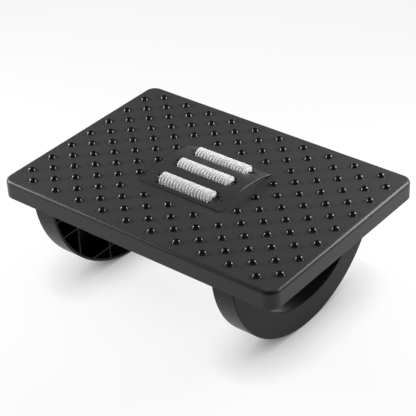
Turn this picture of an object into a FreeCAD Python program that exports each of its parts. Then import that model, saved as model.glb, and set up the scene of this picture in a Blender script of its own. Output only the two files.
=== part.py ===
import FreeCAD, Part
import math
import os

from FreeCAD import Vector

# Under desk footrest that rocks on two half rings and carries three free massage rollers.
# Millimetres, +Z up, +X along the long side, origin on the floor under the middle of the deck.

# Deck: an open tray with its top face up
deck_length = 450.0
deck_width = 314.0
deck_top = 164.5
skirt_height = 25.7
top_wall = 3.0
skirt_wall = 3.0
corner_radius = 16.0
top_edge_radius = 5.0
deck_rib_thickness = 2.0
deck_rib_pitch_x = 40.0
deck_rib_pitch_y = 30.5
rib_to_ear_gap = 0.5

# Massage domes in staggered rows on the deck
dome_diameter = 11.2
dome_height = 4.7
dome_pitch_x = 41.35
dome_pitch_y = 19.47
dome_edge_margin = 15.0
dome_sink = 0.2
dome_to_cover_gap = 2.0

# Roller bay in the middle of the deck
bay_wall = 2.5
bay_side_gap = 3.0
roller_floor_gap = 5.7
cradle_length = 6.5
cradle_width = 9.0
cradle_drop = 1.0
cradle_to_lug_gap = 1.5
lug_end_gap = 0.5

# Arched cover over the bay
cover_seat_depth = 1.0
cover_seat_gap = 0.3
cover_end_overlap = 9.0
cover_side_overlap = 1.5
cover_edge_height = 2.0
cover_rise = 8.6
cover_wall = 2.0
cover_lip_overhang = 2.9
cover_lip_thickness = 1.4
cover_edge_radius = 0.6
slot_end_gap = 2.1
slot_side_gap = 1.2
notch_reach = 6.4
notch_gap = 1.7
cover_boss_x = 48.0

# Rollers and their axles
roller_spacing = 37.8
axis_depth_in_cover = (2.4, 4.0, 2.4)
roller_length = 85.0
roller_core_radius = 8.2
roller_tip_radius = 10.5
ring_pitch = 5.0
ring_width = 3.2
teeth_per_ring = 8
tooth_root_share = 0.84
tooth_tip_share = 0.66
rings_per_tooth_turn = 4.4
axle_radius = 2.5
axle_end_gap = 1.5
bore_clearance = 0.05

# Rockers: half rings that stand on the floor
rocker_end_inset = 59.0
rocker_width = 32.7
rocker_band = 37.1
tread_wall = 3.5
arch_wall = 3.0
rocker_face_wall = 3.0
rocker_rib = 2.0
rocker_edge_radius = 1.5
rocker_shelf_drops = (14.0, 42.5)
rocker_upright_pitch = 57.0
rocker_uprights_each_side = 2
tongue_gap = 0.3
ear_reach = 25.0
ear_thickness = 4.0
ear_hole_inset = 8.0

# Screws
screw_radius = 2.0
screw_head_radius = 4.0
screw_head_height = 2.6
screw_bite = 8.0
screw_tip_room = 3.5
screw_clearance = 0.05
boss_radius = 4.5

# Places worked out from the sizes above
half_length = deck_length / 2
half_width = deck_width / 2
skirt_bottom = deck_top - skirt_height
plate_bottom = deck_top - top_wall
slot_length = roller_length + 2 * slot_end_gap
slot_width = 2 * (roller_tip_radius + slot_side_gap)
notch_width = 2 * (axle_radius + notch_gap)
cradle_inner = slot_length / 2 + notch_reach
bay_length = 2 * (cradle_inner + cradle_length)
bay_width = 2 * (roller_spacing + bay_side_gap) + slot_width
axle_length = bay_length - 2 * axle_end_gap
cover_length = bay_length + 2 * cover_end_overlap
cover_width = bay_width + 2 * cover_side_overlap
cover_radius = ((cover_width / 2) ** 2 + cover_rise ** 2) / (2 * cover_rise)
cover_seat = deck_top - cover_seat_depth
cover_crown = deck_top + cover_edge_height + cover_rise
cover_centre = cover_crown - cover_radius
ring_count = int((roller_length - ring_width) / ring_pitch) + 1
roller_rows = tuple((i - 1) * roller_spacing for i in range(3))
roller_heights = tuple(
    cover_centre + math.sqrt(cover_radius ** 2 - y ** 2) - depth
    for y, depth in zip(roller_rows, axis_depth_in_cover))
bay_floor_top = min(roller_heights) - roller_tip_radius - roller_floor_gap
bay_floor_bottom = bay_floor_top - bay_wall
boss_height = screw_bite + screw_tip_room
ear_top = plate_bottom - boss_height
ear_bottom = ear_top - ear_thickness
rocker_radius = (half_width ** 2 + skirt_bottom ** 2) / (2 * skirt_bottom)
arch_radius = rocker_radius - rocker_band
arch_edge = math.sqrt(arch_radius ** 2 - (rocker_radius - skirt_bottom) ** 2)
rocker_outer_face = half_length - rocker_end_inset
rocker_inner_face = rocker_outer_face - rocker_width


def block(x_range, y_range, z_range):
    """A box between two corners, each range in either order."""
    low = Vector(min(x_range), min(y_range), min(z_range))
    size = Vector(max(x_range), max(y_range), max(z_range)) - low
    return Part.makeBox(size.x, size.y, size.z, low)


def rod(radius, start, end):
    """A round bar from one point to another."""
    return Part.makeCylinder(radius, (end - start).Length, start, end - start)


def rounded_tray_block(length, width, z_range, radius):
    """A box centred on the origin in plan, with its four upright edges rounded."""
    solid = block((-length / 2, length / 2), (-width / 2, width / 2), z_range)
    upright = [e for e in solid.Edges if abs(e.tangentAt(e.FirstParameter).z) > 0.9]
    return solid.makeFillet(radius, upright)


def arch_height(y, radius, centre):
    """Height of a round arch along X at the distance y from its middle."""
    return centre + math.sqrt(radius ** 2 - y ** 2)


def arch_prism(half_span, radius, centre, floor, x_range):
    """A bar along X whose section is a round arch on a flat floor."""
    x_low = min(x_range)
    left = Vector(x_low, -half_span, floor)
    right = Vector(x_low, half_span, floor)
    left_top = Vector(x_low, -half_span, arch_height(half_span, radius, centre))
    right_top = Vector(x_low, half_span, arch_height(half_span, radius, centre))
    crown = Vector(x_low, 0, centre + radius)
    edges = [
        Part.LineSegment(left, right).toShape(),
        Part.LineSegment(right, right_top).toShape(),
        Part.Arc(right_top, crown, left_top).toShape(),
        Part.LineSegment(left_top, left).toShape(),
    ]
    return Part.Face(Part.Wire(edges)).extrude(Vector(max(x_range) - x_low, 0, 0))


def screw(place, direction, grip):
    """A pan head screw: place is under its head, grip is what it clamps before it bites."""
    point = place + direction * (grip + screw_bite)
    head = place - direction * screw_head_height
    return rod(screw_radius, place, point).fuse(rod(screw_head_radius, head, place)).removeSplitter()


def dome_places():
    """Centres of the domes: staggered rows, left out where the roller cover sits."""
    places = []
    rows = int((half_width - dome_edge_margin) / dome_pitch_y)
    columns = int((half_length - dome_edge_margin) / (dome_pitch_x / 2))
    reach = dome_diameter / 2 + dome_to_cover_gap
    for row in range(-rows, rows + 1):
        y = row * dome_pitch_y
        for column in range(-columns, columns + 1):
            x = column * dome_pitch_x / 2
            under_cover = abs(x) < cover_length / 2 + reach and abs(y) < cover_width / 2 + reach
            if (row + column) % 2 == 0 and not under_cover:
                places.append((x, y))
    return places


def dome(x, y):
    """One spherical cap on the deck, sunk a little so that it joins the plate."""
    radius = ((dome_diameter / 2) ** 2 + dome_height ** 2) / (2 * dome_height)
    centre = Vector(x, y, deck_top + dome_height - radius)
    low = math.degrees(math.asin((radius - dome_height - dome_sink) / radius))
    return Part.makeSphere(radius, centre, Vector(0, 0, 1), low, 90, 360)


def axle_bore(y, axis_z, length, clearance):
    """The space that an axle needs in whatever holds it."""
    return rod(axle_radius + clearance, Vector(-length / 2, y, axis_z), Vector(length / 2, y, axis_z))


def cradle_posts():
    """Posts on the bay floor, each with an open round seat for one end of an axle."""
    posts = []
    for y, axis_z in zip(roller_rows, roller_heights):
        for side in (-1, 1):
            post = block(
                (side * cradle_inner, side * bay_length / 2),
                (y - cradle_width / 2, y + cradle_width / 2),
                (bay_floor_top, axis_z - cradle_drop))
            posts.append(post.cut(axle_bore(y, axis_z, bay_length, bore_clearance)))
    return posts


def rocker_screw_places():
    """Plan places of the four screws of the right rocker, one pair in each ear."""
    y = arch_edge - ear_reach / 2
    x_low = rocker_inner_face + ear_hole_inset
    x_high = rocker_outer_face - ear_hole_inset
    return [(x, side * y) for side in (-1, 1) for x in (x_low, x_high)]


def cover_screw_places():
    """Plan places of the four cover bosses, between the rollers."""
    y = roller_spacing / 2
    return [(x, side * y) for side in (-1, 1) for x in (-cover_boss_x, cover_boss_x)]


def deck_ribs(inner_length, inner_width, hollow):
    """A grid of ribs under the deck's plate, none of them nearer to the skirt than half a step."""
    rib_z = (ear_top + rib_to_ear_gap, plate_bottom)
    half_rib = deck_rib_thickness / 2
    ribs = []
    rows = int(inner_width / 2 / deck_rib_pitch_y - 0.5)
    columns = int(inner_length / 2 / deck_rib_pitch_x - 0.5)
    for row in range(-rows, rows + 1):
        y = row * deck_rib_pitch_y
        ribs.append(block((-inner_length / 2, inner_length / 2), (y - half_rib, y + half_rib), rib_z))
    for column in range(-columns, columns + 1):
        x = column * deck_rib_pitch_x
        ribs.append(block((x - half_rib, x + half_rib), (-inner_width / 2, inner_width / 2), rib_z))
    return [rib.common(hollow) for rib in ribs]


def make_deck():
    """Tray shaped deck with its domes, ribs, screw bosses and the roller bay."""
    shell = rounded_tray_block(deck_length, deck_width, (skirt_bottom, deck_top), corner_radius)
    top_edges = [e for e in shell.Edges if e.BoundBox.ZMin > deck_top - 0.01]
    shell = shell.makeFillet(top_edge_radius, top_edges)
    inner_length = deck_length - 2 * skirt_wall
    inner_width = deck_width - 2 * skirt_wall
    hollow = rounded_tray_block(
        inner_length, inner_width, (skirt_bottom, plate_bottom), corner_radius - skirt_wall)
    shell = shell.cut(hollow)

    bay_outer_x = bay_length / 2 + bay_wall
    bay_outer_y = bay_width / 2 + bay_wall
    added = deck_ribs(inner_length, inner_width, hollow)
    added.append(block(
        (-bay_outer_x, bay_outer_x), (-bay_outer_y, bay_outer_y), (bay_floor_bottom, plate_bottom)))
    removed = [block(
        (-bay_length / 2, bay_length / 2), (-bay_width / 2, bay_width / 2), (bay_floor_top, deck_top))]
    seat_x = cover_length / 2 + cover_seat_gap
    seat_y = cover_width / 2 + cover_seat_gap
    removed.append(block((-seat_x, seat_x), (-seat_y, seat_y), (cover_seat, deck_top)))
    for x, y in rocker_screw_places():
        for side in (-1, 1):
            seat = Vector(side * x, y, ear_top)
            added.append(rod(boss_radius, seat, Vector(side * x, y, plate_bottom)))
            depth = Vector(0, 0, screw_bite + screw_clearance)
            removed.append(rod(screw_radius + screw_clearance, seat, seat + depth))
    for x, y in cover_screw_places():
        hole = (Vector(x, y, bay_floor_bottom), Vector(x, y, bay_floor_top))
        removed.append(rod(screw_radius + screw_clearance, *hole))
    deck = shell.multiFuse(added).cut(Part.makeCompound(removed))
    domes = [dome(x, y) for x, y in dome_places()]
    return deck.multiFuse(cradle_posts() + domes).removeSplitter()


def cover_slot(y):
    """One roller slot, with a narrow notch at each end for the axle."""
    z_range = (cover_seat, cover_crown + cover_rise)
    slot = block((-slot_length / 2, slot_length / 2), (y - slot_width / 2, y + slot_width / 2), z_range)
    notch = block((-cradle_inner, cradle_inner), (y - notch_width / 2, y + notch_width / 2), z_range)
    return slot.fuse(notch)


def make_roller_cover():
    """Arched shell, let into the deck, that holds the axles down and frames the rollers. Its top
    reaches over its end walls as a thin lip."""
    half_span = cover_width / 2
    outer = arch_prism(
        half_span, cover_radius, cover_centre, cover_seat, (-cover_length / 2, cover_length / 2))
    wall_x = cover_length / 2 - cover_lip_overhang
    rims = [e for e in outer.Edges
            if e.BoundBox.YLength > half_span / 2 and e.BoundBox.ZMin > deck_top + cover_edge_height / 2
            and e.BoundBox.XLength < cover_length / 2]
    outer = outer.makeFillet(cover_edge_radius, rims)
    for side in (-1, 1):
        outer = outer.cut(arch_prism(
            half_span, cover_radius - cover_lip_thickness, cover_centre, cover_seat,
            (side * wall_x, side * cover_length / 2)))
    inner_radius = cover_radius - cover_wall
    inner_x = wall_x - cover_wall
    inner_span = half_span - cover_wall
    inner = arch_prism(inner_span, inner_radius, cover_centre, bay_floor_top, (-inner_x, inner_x))
    cover = outer.cut(inner)

    lugs = []
    for y, axis_z in zip(roller_rows, roller_heights):
        for side in (-1, 1):
            lugs.append(block(
                (side * cradle_inner, side * (bay_length / 2 - lug_end_gap)),
                (y - cradle_width / 2, y + cradle_width / 2),
                (axis_z - cradle_drop + cradle_to_lug_gap, cover_crown)))
    for x, y in cover_screw_places():
        lugs.append(rod(boss_radius, Vector(x, y, bay_floor_top), Vector(x, y, cover_crown)))
    room_below = block(
        (-bay_length / 2, bay_length / 2), (-bay_width / 2, bay_width / 2), (bay_floor_top, deck_top))
    held = Part.makeCompound(lugs).common(outer.fuse(room_below))
    cover = cover.multiFuse(held.Solids)
    removed = [cover_slot(y) for y in roller_rows]
    for y, axis_z in zip(roller_rows, roller_heights):
        removed.append(axle_bore(y, axis_z, bay_length, bore_clearance))
    for x, y in cover_screw_places():
        start = Vector(x, y, bay_floor_top)
        depth = Vector(0, 0, screw_bite + screw_clearance)
        removed.append(rod(screw_radius + screw_clearance, start, start + depth))
    return cover.cut(Part.makeCompound(removed)).removeSplitter()


def toothed_ring(x, turn):
    """A flat ring with rounded off teeth; turn is how far its teeth are turned, in degrees."""
    points = []
    step = 360 / teeth_per_ring
    for tooth in range(teeth_per_ring):
        middle = turn + tooth * step
        corners = (
            (-tooth_root_share / 2, roller_core_radius),
            (-tooth_tip_share / 2, roller_tip_radius),
            (tooth_tip_share / 2, roller_tip_radius),
            (tooth_root_share / 2, roller_core_radius),
        )
        for share, radius in corners:
            angle = math.radians(middle + share * step)
            points.append(Vector(x, radius * math.cos(angle), radius * math.sin(angle)))
    return Part.Face(Part.makePolygon(points + points[:1])).extrude(Vector(ring_width, 0, 0))


def make_roller(y, axis_z):
    """Massage roller: a core with rings of teeth that wind slowly round it, and a through bore."""
    half = roller_length / 2
    core = rod(roller_core_radius, Vector(-half, 0, 0), Vector(half, 0, 0))
    first = -((ring_count - 1) * ring_pitch + ring_width) / 2
    turn_step = 360 / teeth_per_ring / rings_per_tooth_turn
    rings = [toothed_ring(first + i * ring_pitch, i * turn_step) for i in range(ring_count)]
    roller = core.multiFuse(rings)
    roller = roller.cut(axle_bore(0, 0, roller_length, bore_clearance))
    roller.translate(Vector(0, y, axis_z))
    return roller.removeSplitter()


def make_axle(y, axis_z):
    """Plain pin that a roller turns on."""
    return axle_bore(y, axis_z, axle_length, 0)


def half_ring(outer, inner, top, x_range):
    """The part of an upright ring along X that lies below a height."""
    x_low = min(x_range)
    centre_z = rocker_radius

    def reach(radius):
        return math.sqrt(radius ** 2 - (centre_z - top) ** 2)

    edges = [
        Part.Arc(Vector(x_low, -reach(outer), top), Vector(x_low, 0, centre_z - outer),
                 Vector(x_low, reach(outer), top)).toShape(),
        Part.LineSegment(Vector(x_low, reach(outer), top), Vector(x_low, reach(inner), top)).toShape(),
        Part.Arc(Vector(x_low, reach(inner), top), Vector(x_low, 0, centre_z - inner),
                 Vector(x_low, -reach(inner), top)).toShape(),
        Part.LineSegment(Vector(x_low, -reach(inner), top), Vector(x_low, -reach(outer), top)).toShape(),
    ]
    return Part.Face(Part.Wire(edges)).extrude(Vector(max(x_range) - x_low, 0, 0))


def make_right_rocker():
    """Half ring with a closed outer face, open towards the middle, ribbed like a moulding."""
    x_range = (rocker_inner_face, rocker_outer_face)
    band = half_ring(rocker_radius, arch_radius, skirt_bottom, x_range)
    rims = [e for e in band.Edges
            if e.BoundBox.XMin > rocker_outer_face - 0.01 and e.BoundBox.ZLength > rocker_band]
    band = band.makeFillet(rocker_edge_radius, rims)

    tongue_out = half_width - skirt_wall - tongue_gap
    added = []
    for side in (-1, 1):
        added.append(block(
            x_range, (side * arch_edge, side * tongue_out), (skirt_bottom, ear_top)))
        added.append(block(
            x_range, (side * (arch_edge - ear_reach), side * arch_edge), (ear_bottom, ear_top)))
    body = band.multiFuse(added)

    hollow_x = (rocker_inner_face, rocker_outer_face - rocker_face_wall)
    cells = half_ring(rocker_radius - tread_wall, arch_radius + arch_wall, skirt_bottom, hollow_x)
    tongue_cells = []
    for side in (-1, 1):
        tongue_cells.append(block(
            hollow_x,
            (side * (arch_edge + arch_wall), side * (tongue_out - arch_wall)),
            (skirt_bottom - arch_wall, ear_bottom)))
    cells = cells.multiFuse(tongue_cells)
    half_rib = rocker_rib / 2
    shelves = [skirt_bottom - drop for drop in rocker_shelf_drops]
    shelves.append(rocker_band - arch_wall - half_rib)
    ribs = [block(hollow_x, (-half_width, half_width), (z - half_rib, z + half_rib)) for z in shelves]
    for step in range(-rocker_uprights_each_side, rocker_uprights_each_side + 1):
        y = step * rocker_upright_pitch
        ribs.append(block(hollow_x, (y - half_rib, y + half_rib), (0, skirt_bottom - arch_wall)))
    cells = cells.cut(Part.makeCompound(ribs))
    holes = []
    for x, y in rocker_screw_places():
        holes.append(rod(screw_radius + screw_clearance, Vector(x, y, ear_bottom), Vector(x, y, ear_top)))
    return body.cut(Part.makeCompound(cells.Solids + holes)).removeSplitter()


def mirrored(shape):
    """The same piece on the other side of the middle plane."""
    return shape.mirror(Vector(0, 0, 0), Vector(1, 0, 0))


def make_rocker_screws(side):
    """The four screws that hold one rocker's ears against the deck's bosses."""
    up = Vector(0, 0, 1)
    return Part.makeCompound([
        screw(Vector(side * x, y, ear_bottom), up, ear_thickness) for x, y in rocker_screw_places()])


def make_cover_screws():
    """The four screws that come up through the bay floor into the cover's bosses."""
    up = Vector(0, 0, 1)
    return Part.makeCompound([
        screw(Vector(x, y, bay_floor_bottom), up, bay_wall) for x, y in cover_screw_places()])


def main():
    right_rocker = make_right_rocker()
    nodes = {
        "deck": make_deck(),
        "roller_cover": make_roller_cover(),
        "roller_cover_screws": make_cover_screws(),
        "right_rocker": right_rocker,
        "left_rocker": mirrored(right_rocker),
        "right_rocker_screws": make_rocker_screws(1),
        "left_rocker_screws": make_rocker_screws(-1),
    }
    for name, y, axis_z in zip(("front", "middle", "rear"), roller_rows, roller_heights):
        nodes[name + "_roller"] = make_roller(y, axis_z)
        nodes[name + "_axle"] = make_axle(y, axis_z)
    os.makedirs("parts", exist_ok=True)
    for name, shape in nodes.items():
        shape.exportStep("parts/" + name + ".step")
        print(name, len(shape.Solids), round(shape.Volume, 1), shape.isValid())


main()
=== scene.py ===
import math

import bpy
import numpy as np
from mathutils import Matrix, Vector


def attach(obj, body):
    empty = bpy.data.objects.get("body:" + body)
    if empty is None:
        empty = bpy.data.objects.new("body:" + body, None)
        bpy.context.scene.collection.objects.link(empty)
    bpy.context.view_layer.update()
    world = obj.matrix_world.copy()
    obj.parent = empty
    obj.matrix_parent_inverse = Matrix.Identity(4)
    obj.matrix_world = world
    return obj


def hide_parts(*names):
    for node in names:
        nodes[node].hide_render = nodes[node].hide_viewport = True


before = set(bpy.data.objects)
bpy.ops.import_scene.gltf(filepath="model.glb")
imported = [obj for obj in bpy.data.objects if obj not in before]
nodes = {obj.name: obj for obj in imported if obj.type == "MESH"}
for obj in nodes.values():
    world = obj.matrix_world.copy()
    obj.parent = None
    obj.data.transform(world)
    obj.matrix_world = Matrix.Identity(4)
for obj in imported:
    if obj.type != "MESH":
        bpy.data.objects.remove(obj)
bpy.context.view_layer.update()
mm = 0.001


# The deck: one injection moulding in black polypropylene from a spark eroded tool, so it is matt
# and finely grained. The moulding itself is the CAD node, which has its rounded edges. Its skirt
# and its rounded edge are painted a darker black than its top face. This is painted shade, with a
# dark painted reflection along the rounded edge.

class Signal:
    """What one socket of a shader puts out. Sums and products with it add Math nodes."""

    def __init__(self, finish, socket):
        self.finish = finish
        self.socket = socket

    def maths(self, operation, first, second):
        return self.finish.node("ShaderNodeMath", {"operation": operation}, {0: first, 1: second})

    def __add__(self, other):
        return self.maths("ADD", self, other)

    def __radd__(self, other):
        return self.maths("ADD", other, self)

    def __mul__(self, other):
        return self.maths("MULTIPLY", self, other)

    def __rmul__(self, other):
        return self.maths("MULTIPLY", other, self)

    def __gt__(self, other):
        return self.maths("GREATER_THAN", self, other)


class Shading:
    """The nodes of one material or world, whose signals feed one shader."""

    def __init__(self, tree, shader):
        self.tree = tree
        self.shader = tree.nodes[shader]

    def node(self, kind, settings, inputs, output=0):
        """Adds a node, makes its settings, then fills its sockets with numbers, colours or
        signals. Stops are a ramp's positions and grey levels."""
        made = self.tree.nodes.new(kind)
        for name, value in settings.items():
            if name == "stops":
                while len(made.color_ramp.elements) < len(value):
                    made.color_ramp.elements.new(1.0)
                for stop, (position, level) in zip(made.color_ramp.elements, value):
                    stop.position = position
                    stop.color = (level, level, level, 1)
            else:
                setattr(made, name, value)
        for name, value in inputs.items():
            if isinstance(value, Signal):
                self.tree.links.new(value.socket, made.inputs[name])
            else:
                made.inputs[name].default_value = value
        return Signal(self, made.outputs[output])

    def feed(self, socket, signal):
        """Lets a signal drive one of the shader's own sockets."""
        self.tree.links.new(signal.socket, self.shader.inputs[socket])


class Finish(Shading):
    """A material with one Principled shader. Constants go straight onto the shader's sockets."""

    def __init__(self, name, **constants):
        self.material = bpy.data.materials.new(name)
        self.material.use_nodes = True
        super().__init__(self.material.node_tree, "Principled BSDF")
        for socket, value in constants.items():
            self.shader.inputs[socket.replace("_", " ")].default_value = value

    def place(self):
        """Where a point lies on the object, in metres."""
        return self.node("ShaderNodeTexCoord", {}, {}, "Object")

    def noise(self, size, detail=2.0, roughness=0.5):
        """Cloudy variation between 0 and 1, with lumps of the given size in metres."""
        return self.node("ShaderNodeTexNoise", {}, {
            "Vector": self.place(), "Scale": 1 / size, "Detail": detail, "Roughness": roughness})

    def shade(self, amount, dark, light):
        """A colour between two, by an amount from 0 to 1. A Mix node of colours takes them on
        its sockets 6 and 7, and its output 2 is the result."""
        return self.node("ShaderNodeMix", {"data_type": "RGBA"}, {
            "Factor": amount, 6: (*dark, 1), 7: (*light, 1)}, 2)

    def grain(self, height, depth, strength):
        """Tilts the surface by a height signal; depth is the relief in metres."""
        self.feed("Normal", self.node("ShaderNodeBump", {}, {
            "Height": height, "Distance": depth, "Strength": strength}))

    def paint(self, thing):
        """Gives the whole piece this finish."""
        thing.data.materials.clear()
        thing.data.materials.append(self.material)


deck_top = 164.5
# Up to this height the deck is painted a darker black: painted shade on the skirt and a painted
# dark reflection on the rounded edge.
painted_shade_below = 163.8
painted_shade_black = (0.0112, 0.0112, 0.0118)
top_black = (0.0445, 0.0445, 0.0462)

deck_finish = Finish("spark_eroded_black_plastic", IOR=1.49, Specular_IOR_Level=0.41)
cloud = deck_finish.noise(size=0.09, detail=3.0)
grit = deck_finish.noise(size=0.0006, detail=3.0, roughness=0.6)
height = deck_finish.node("ShaderNodeSeparateXYZ", {}, {"Vector": deck_finish.place()}, "Z")
# Painted shade: from 0 below the rounded edge to 1 on the top face, this fades the painted darker
# black on the skirt and edge into the top face's colour.
painted_shade_fade = deck_finish.node("ShaderNodeMapRange", {}, {
    "Value": height, "From Min": painted_shade_below * mm, "From Max": deck_top * mm})
deck_finish.feed("Base Color", deck_finish.shade(
    0.9 * painted_shade_fade + 0.1 * cloud, painted_shade_black, top_black))
deck_finish.feed("Roughness", 0.36 + 0.08 * cloud)
deck_finish.grain(grit, depth=0.000008, strength=0.3)
deck_finish.paint(nodes["deck"])


# The massage domes: they are moulded with the deck, but their pockets in the tool are polished,
# so they shine. Each is a spherical cap that meets the deck in a small fillet.

def grid_faces(rows, columns, wrap_rows=False, wrap_columns=False):
    """Quads between the neighbours of a grid of points that is numbered row by row."""
    row = np.arange(rows if wrap_rows else rows - 1)[:, None]
    column = np.arange(columns if wrap_columns else columns - 1)[None, :]
    next_row, next_column = (row + 1) % rows, (column + 1) % columns
    return np.stack([
        row * columns + column, row * columns + next_column,
        next_row * columns + next_column, next_row * columns + column], -1).reshape(-1, 4)


def fan_faces(ring, hub):
    """Triangles from a closed ring of point numbers to one hub point."""
    return np.stack([ring, np.roll(ring, -1), np.full(len(ring), hub)], -1)


def piece(name, points, faces, slot, sharp_degrees):
    """Makes one smooth shaded mesh from points in metres. Edges that bend by more than the
    given angle stay sharp."""
    mesh = bpy.data.meshes.new(name)
    mesh.from_pydata(np.asarray(points).tolist(), [], [list(map(int, f)) for f in faces])
    mesh.validate()
    mesh.shade_smooth()
    mesh.set_sharp_from_angle(angle=math.radians(sharp_degrees))
    made = bpy.data.objects.new(name, mesh)
    bpy.context.scene.collection.objects.link(made)
    return made


dome_pitch = (41.35, 19.47)
dome_reach = (210.0, 142.0)
dome_clear = (73.2, 63.7)
dome_height = 4.83
dome_radius = 5.82
dome_fillet = 0.4
dome_lift = 0.01
dome_sides = 16
fillet_rings = 3
cap_rings = 6


def dome_field():
    """Every dome's points and faces. One dome is a profile turned round an upright axis: first
    the fillet, an arc that starts flat on the deck and ends where it touches the cap, then the
    cap, an arc of the sphere up to its crown. It is copied to staggered rows, with each second
    row half a pitch along, and the field round the roller cover stays bare."""
    centre_z = dome_height - dome_radius
    reach = dome_radius + dome_fillet
    fillet_centre = math.sqrt(reach ** 2 - (dome_fillet - centre_z) ** 2)
    join = math.asin((dome_fillet - centre_z) / reach)
    low = np.linspace(-math.pi / 2, join - math.pi, fillet_rings)
    rise = np.linspace(join, math.pi / 2, cap_rings)[1:-1]
    radius = np.concatenate([
        fillet_centre + dome_fillet * np.cos(low), dome_radius * np.cos(rise)])
    height = np.concatenate([
        dome_fillet + dome_fillet * np.sin(low), centre_z + dome_radius * np.sin(rise)])
    turn = np.arange(dome_sides) * 2 * math.pi / dome_sides
    wall = np.stack([
        radius[:, None] * np.cos(turn), radius[:, None] * np.sin(turn),
        height[:, None] + 0 * turn], -1).reshape(-1, 3)
    dome = np.vstack([wall, [0, 0, dome_height]])
    rings = len(radius)
    quads = grid_faces(rings, dome_sides, wrap_columns=True)
    crown = fan_faces(np.arange(dome_sides) + (rings - 1) * dome_sides, rings * dome_sides)

    half_pitch = dome_pitch[0] / 2
    most_columns = int(dome_reach[0] / half_pitch)
    most_rows = int(dome_reach[1] / dome_pitch[1])
    column, row = (number.ravel() for number in np.meshgrid(
        np.arange(-most_columns, most_columns + 1), np.arange(-most_rows, most_rows + 1)))
    x, y = column * half_pitch, row * dome_pitch[1]
    under_cover = (abs(x) < dome_clear[0]) & (abs(y) < dome_clear[1])
    keep = ((column + row) % 2 == 0) & ~under_cover
    places = np.stack([x[keep], y[keep], np.full(keep.sum(), deck_top + dome_lift)], -1)
    points = (places[:, None, :] + dome[None, :, :]).reshape(-1, 3)
    shift = (np.arange(len(places)) * len(dome))[:, None, None]
    faces = [*(quads[None] + shift).reshape(-1, 4), *(crown[None] + shift).reshape(-1, 3)]
    return points * mm, faces


domes = piece("massage_domes", *dome_field(), "deck_plastic", sharp_degrees=40)
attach(domes, "root")
dome_finish = Finish("polished_black_plastic", IOR=1.49, Specular_IOR_Level=0.47)
haze = dome_finish.noise(size=0.004)
dome_finish.feed("Base Color", dome_finish.shade(
    haze, (0.005, 0.005, 0.0053), (0.007, 0.007, 0.0074)))
dome_finish.feed("Roughness", 0.15 + 0.08 * haze)
dome_finish.paint(domes)


# The roller cover: a thin arched shell in the same black plastic from a smoother tool, let into
# the deck and screwed from below. The moulding itself is the CAD node.

cover_finish = Finish("smooth_black_plastic", IOR=1.49, Specular_IOR_Level=0.59)
bloom = cover_finish.noise(size=0.05, detail=3.0)
dust = cover_finish.noise(size=0.0008)
cover_finish.feed("Base Color", cover_finish.shade(
    bloom, (0.0385, 0.0385, 0.0395), (0.0445, 0.0445, 0.0455)))
cover_finish.feed("Roughness", 0.24 + 0.08 * bloom)
cover_finish.grain(dust, depth=0.000006, strength=0.25)
cover_finish.paint(nodes["roller_cover"])


# The three massage rollers: white plastic, a core with rings of broad teeth. The gaps between a
# ring's teeth wind slowly round the roller from ring to ring. Each turns freely on its axle.

roller_axis = {"front": (-37.8, 168.5405), "middle": (0.0, 171.1), "rear": (37.8, 168.5405)}
roller_length = 85.0
roller_bore = 2.55
end_chamfer = 0.3
core_radius = 6.8
root_radius = 9.0
tip_radius = 10.1
ring_pitch = 5.0
ring_count = 17
ring_foot = 2.7
ring_tip = 1.5
teeth = 8
rings_per_tooth = 4.4
tooth_foot = 0.97
tooth_tip = 0.84
tooth_crown = 0.17


def roller_surface(y, z):
    """Radius as a function of the place along the axis and of the turn round it. A ring's
    section is a rounded trapezium from the core to its crown, and so is each tooth along the
    turn, from the root radius to the tip radius. The widths of a tooth are shares of its pitch.
    The grid's lines follow the teeth, so they wind round with them."""
    half = roller_length / 2
    rise = np.array([0.0, 0.05, 0.4, 0.8, 0.95, 1.0])
    inset = np.array([0.0, 0.1, 0.3, 0.55, 0.75, 1.0])

    ring_half = (ring_foot + (ring_tip - ring_foot) * inset) / 2
    ring_x = np.concatenate([-ring_half, [0.0], ring_half[::-1]])
    ring_rise = np.concatenate([rise, [1.0], rise[::-1]])
    middle = (np.arange(ring_count) - (ring_count - 1) / 2) * ring_pitch
    x = np.concatenate([[-half], (middle[:, None] + ring_x).ravel(), [half]])
    along = np.concatenate([[0.0], np.tile(ring_rise, ring_count), [0.0]])
    number = np.concatenate([
        [0], np.repeat(np.arange(ring_count), len(ring_x)), [ring_count - 1]])

    tooth_half = (tooth_foot + (tooth_tip - tooth_foot) * inset) / 2
    tooth_place = np.concatenate([-tooth_half, [-tooth_crown, 0.0, tooth_crown], tooth_half[::-1]])
    tooth_rise = np.concatenate([rise, [1.0, 1.0, 1.0], rise[::-1]])
    turn = ((np.arange(teeth)[:, None] + tooth_place) * 2 * math.pi / teeth).ravel()
    tooth = np.tile(tooth_rise, teeth)
    angle = turn[None, :] + (number * 2 * math.pi / teeth / rings_per_tooth)[:, None]
    ring_height = root_radius - core_radius + (tip_radius - root_radius) * tooth[None, :]
    radius = core_radius + along[:, None] * ring_height

    x = np.concatenate([[-half, -half], x, [half, half]])
    x[2] += end_chamfer
    x[-3] -= end_chamfer
    angle = np.vstack([angle[:1], angle[:1], angle, angle[-1:], angle[-1:]])
    bore = np.full((1, len(turn)), roller_bore)
    radius = np.vstack([
        bore, radius[:1] - end_chamfer, radius, radius[-1:] - end_chamfer, bore])
    points = np.stack([
        x[:, None] + 0 * angle, y + radius * np.cos(angle), z + radius * np.sin(angle)], -1)
    faces = grid_faces(len(x), len(turn), wrap_rows=True, wrap_columns=True)
    return points.reshape(-1, 3) * mm, faces[:, ::-1]


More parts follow.
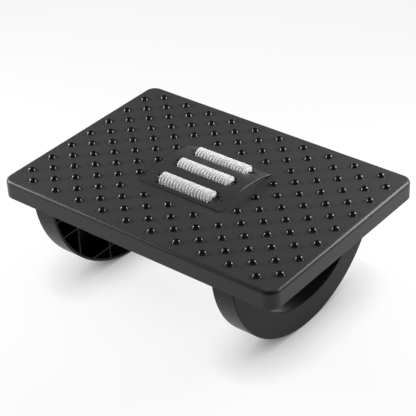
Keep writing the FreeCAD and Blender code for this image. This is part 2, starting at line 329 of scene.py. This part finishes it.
roller_finish = Finish("white_roller_plastic", IOR=1.49)
wear = roller_finish.noise(size=0.006)
roller_finish.feed("Base Color", roller_finish.shade(
    wear, (0.76, 0.76, 0.765), (0.81, 0.81, 0.815)))
roller_finish.feed("Roughness", 0.38 + 0.1 * wear)
for name, (y, z) in roller_axis.items():
    roller = piece(
        name + "_toothed_roller", *roller_surface(y, z), "roller_plastic", sharp_degrees=60)
    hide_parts(name + "_roller")
    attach(roller, name + "_roller")
    roller_finish.paint(roller)


# The axles: plain steel pins with a black finish, which lie in the deck's seats under the cover.

axle_finish = Finish("blackened_steel", Metallic=1.0)
rub = axle_finish.noise(size=0.003)
axle_finish.feed("Base Color", axle_finish.shade(rub, (0.09, 0.09, 0.095), (0.16, 0.16, 0.165)))
axle_finish.feed("Roughness", 0.3 + 0.15 * rub)
for name in roller_axis:
    axle_finish.paint(nodes[name + "_axle"])


# The rockers: half rings moulded in black plastic, closed outside and ribbed inside, screwed
# up into the deck's bosses through an ear at each end.

rocker_finish = Finish("satin_black_plastic", IOR=1.49, Specular_IOR_Level=0.14)
drift = rocker_finish.noise(size=0.07, detail=3.0)
skin = rocker_finish.noise(size=0.0012, detail=3.0, roughness=0.6)
rocker_finish.feed("Base Color", rocker_finish.shade(
    drift, (0.0088, 0.0088, 0.0092), (0.012, 0.012, 0.0126)))
rocker_finish.feed("Roughness", 0.3 + 0.08 * drift)
rocker_finish.grain(skin, depth=0.000025, strength=0.25)
for side in ("left", "right"):
    rocker_finish.paint(nodes[side + "_rocker"])


# The screws: plain pan heads in black zinc, seen only from below. They hold the cover and the
# rockers' ears to the deck.

screw_finish = Finish("black_zinc", Metallic=1.0)
scuff = screw_finish.noise(size=0.001)
screw_finish.feed("Base Color", screw_finish.shade(scuff, (0.10, 0.10, 0.105), (0.19, 0.19, 0.2)))
screw_finish.feed("Roughness", 0.32 + 0.12 * scuff)
for name in ("roller_cover_screws", "left_rocker_screws", "right_rocker_screws"):
    screw_finish.paint(nodes[name])


# The studio: a white floor in a room that is bright near the ground and dark overhead. A small
# soft box stands low at each side, and a large dim one above shows in no reflection. The camera
# stands where the photograph's did.

floor_half = 9
floor_glow = 0.86
# How far, in metres, the painted contact shadow on the floor reaches from the object.
painted_shadow_reach = 0.065

floor_mesh = bpy.data.meshes.new("studio_floor")
floor_mesh.from_pydata([
    (-floor_half, -floor_half, 0), (floor_half, -floor_half, 0),
    (floor_half, floor_half, 0), (-floor_half, floor_half, 0)], [], [(0, 1, 2, 3)])
floor = bpy.data.objects.new("studio_floor", floor_mesh)
bpy.context.scene.collection.objects.link(floor)
floor_finish = Finish("white_floor", Roughness=0.9, IOR=1.2)
seen = floor_finish.node("ShaderNodeLightPath", {}, {}, "Is Camera Ray")
for kind in ("Is Glossy Ray", "Is Transmission Ray"):
    seen = seen + floor_finish.node("ShaderNodeLightPath", {}, {}, kind)
floor_finish.feed("Base Color", floor_finish.shade(
    seen > 0.5, (0.4, 0.4, 0.4), (0.95, 0.95, 0.95)))
# Painted shadow: the floor's glow, seen by the camera and in reflections, is darkened by ambient
# occlusion near the object, so a contact shadow is painted round the rockers and deck.
painted_shadow_ao = floor_finish.node("ShaderNodeAmbientOcclusion", {"samples": 8}, {
    "Distance": painted_shadow_reach}, "AO")
glow = floor_finish.node("ShaderNodeEmission", {}, {
    "Color": (1, 1, 1, 1), "Strength": painted_shadow_ao})
lit = Signal(floor_finish, floor_finish.shader.outputs["BSDF"])
blend = floor_finish.node("ShaderNodeMixShader", {}, {
    0: floor_glow * (seen > 0.5), 1: lit, 2: glow})
floor_output = floor_finish.tree.nodes["Material Output"]
floor_finish.tree.links.new(blend.socket, floor_output.inputs["Surface"])
floor_finish.paint(floor)


def soft_box(name, azimuth, elevation, distance, size, brightness):
    """A rectangular lamp that faces the middle of the deck, in degrees round from +X and up
    from the floor. Brightness is how bright its face looks, where 1 is white."""
    data = bpy.data.lights.new(name, "AREA")
    data.shape = "RECTANGLE"
    data.size, data.size_y = size
    data.energy = brightness * math.pi * size[0] * size[1]
    lamp = bpy.data.objects.new(name, data)
    around, over = math.radians(azimuth), math.radians(elevation)
    towards = Vector((
        math.cos(around) * math.cos(over), math.sin(around) * math.cos(over), math.sin(over)))
    aim = Vector((0, 0, 0.15))
    lamp.location = aim + distance * towards
    lamp.rotation_mode = "QUATERNION"
    lamp.rotation_quaternion = towards.to_track_quat("Z", "Y")
    bpy.context.scene.collection.objects.link(lamp)
    return lamp


soft_box("left_soft_box", azimuth=205, elevation=23, distance=0.95,
         size=(0.44, 0.44), brightness=14.9)
soft_box("right_soft_box", azimuth=46, elevation=27, distance=0.7,
         size=(0.36, 0.34), brightness=12.3)
overhead = soft_box("overhead_soft_box", azimuth=130, elevation=84, distance=1.5,
                    size=(1.3, 1.3), brightness=1.23)
overhead.visible_glossy = False

room_levels = [(0.0, 0.47), (0.2, 0.3), (0.4, 0.12), (0.6, 0.06), (1.0, 0.042)]
room_world = bpy.data.worlds.new("studio_room")
room_world.use_nodes = True
room = Shading(room_world.node_tree, "Background")
direction = room.node("ShaderNodeTexCoord", {}, {}, "Generated")
upward = room.node("ShaderNodeSeparateXYZ", {}, {"Vector": direction}, "Z")
room.feed("Color", room.node("ShaderNodeValToRGB", {"stops": room_levels}, {"Fac": upward}))
bpy.context.scene.world = room_world
bpy.context.scene.view_settings.view_transform = "Standard"

camera_place = (1.04488, -1.23877, 1.18931)
camera_right = Vector((0.78194702, 0.62187983, -0.04271226))
camera_up = Vector((-0.31585453, 0.45436161, 0.83294144))

camera_data = bpy.data.cameras.new("camera")
camera_data.sensor_width = 36.0
camera_data.lens = 125.459
camera = bpy.data.objects.new("camera", camera_data)
turned = Matrix((camera_right, camera_up, camera_right.cross(camera_up))).transposed()
camera.matrix_world = Matrix.Translation(camera_place) @ turned.to_4x4()
bpy.context.scene.collection.objects.link(camera)
bpy.context.scene.camera = camera
